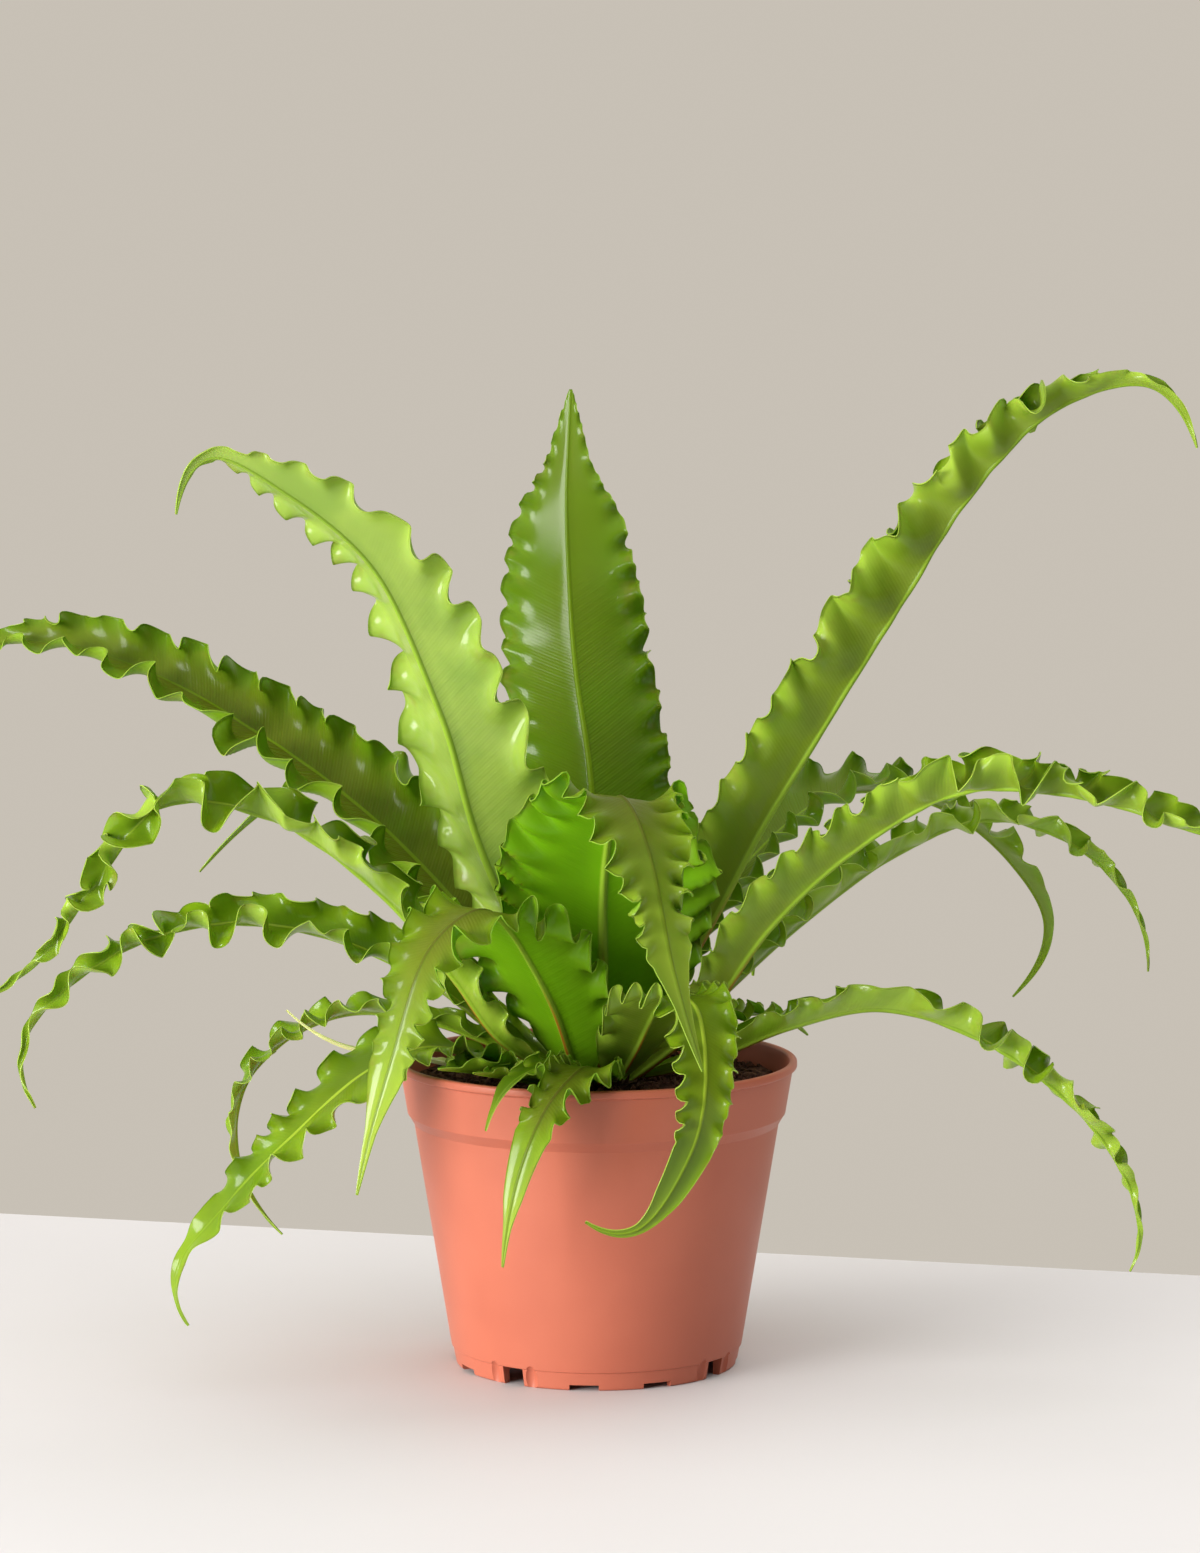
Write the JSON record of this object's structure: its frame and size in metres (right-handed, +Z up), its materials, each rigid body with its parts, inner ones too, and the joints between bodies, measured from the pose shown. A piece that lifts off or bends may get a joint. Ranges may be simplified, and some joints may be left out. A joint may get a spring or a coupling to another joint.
{
  "type": "potted fern",
  "caption": "Potted bird's nest fern: a rosette of arching, tapering fronds with wavy edges, growing from a round tapered plastic grow pot with a stacking collar.",
  "frame": {"origin": "on the surface the pot stands on, at the pot's axis, which is also the middle of the plant's spread", "axes": "+Z up along the pot's axis; -Y is the plant's front; +X to the right seen from the front, along the widest spread"},
  "size_m": [0.5376, 0.3301, 0.3784],
  "materials": {
    "pot_plastic": "satin terracotta-coloured polypropylene",
    "potting_mix": "loose dark peat and bark",
    "crown_scales": "dull brown scales",
    "frond_bright": "satin yellow-green leaf",
    "frond_deep": "glossy deep green leaf",
    "frond_olive": "satin olive-green leaf",
    "frond_pale": "dull pale yellow-green old leaf tip"
  },
  "bodies": {
    "root": {"pot": "pot_plastic", "potting_mix": "potting_mix", "crown": "crown_scales", "frond_tall_back": "frond_deep", "frond_bright_left": "frond_bright", "frond_great_right": "frond_bright", "frond_long_left": "frond_deep", "frond_fold_centre": "frond_olive", "frond_mid_left": "frond_bright", "frond_low_left": "frond_bright", "frond_behind_left": "frond_deep", "frond_fold_left": "frond_olive", "frond_near_right": "frond_bright", "frond_behind_right": "frond_deep", "frond_thin_right": "frond_bright", "frond_fold_right": "frond_bright", "frond_back_left": "frond_deep", "frond_back_middle": "frond_deep", "frond_back_right": "frond_deep", "frond_floor_left": "frond_bright", "frond_hook_left": "frond_bright", "frond_pale_tip": "frond_pale", "frond_low_right": "frond_bright", "frond_short_right": "frond_olive", "frond_rim_front": "frond_olive", "frond_rim_small": "frond_bright", "frond_base_left": "frond_deep", "frond_base_front": "frond_deep"}
  },
  "joints": []
}
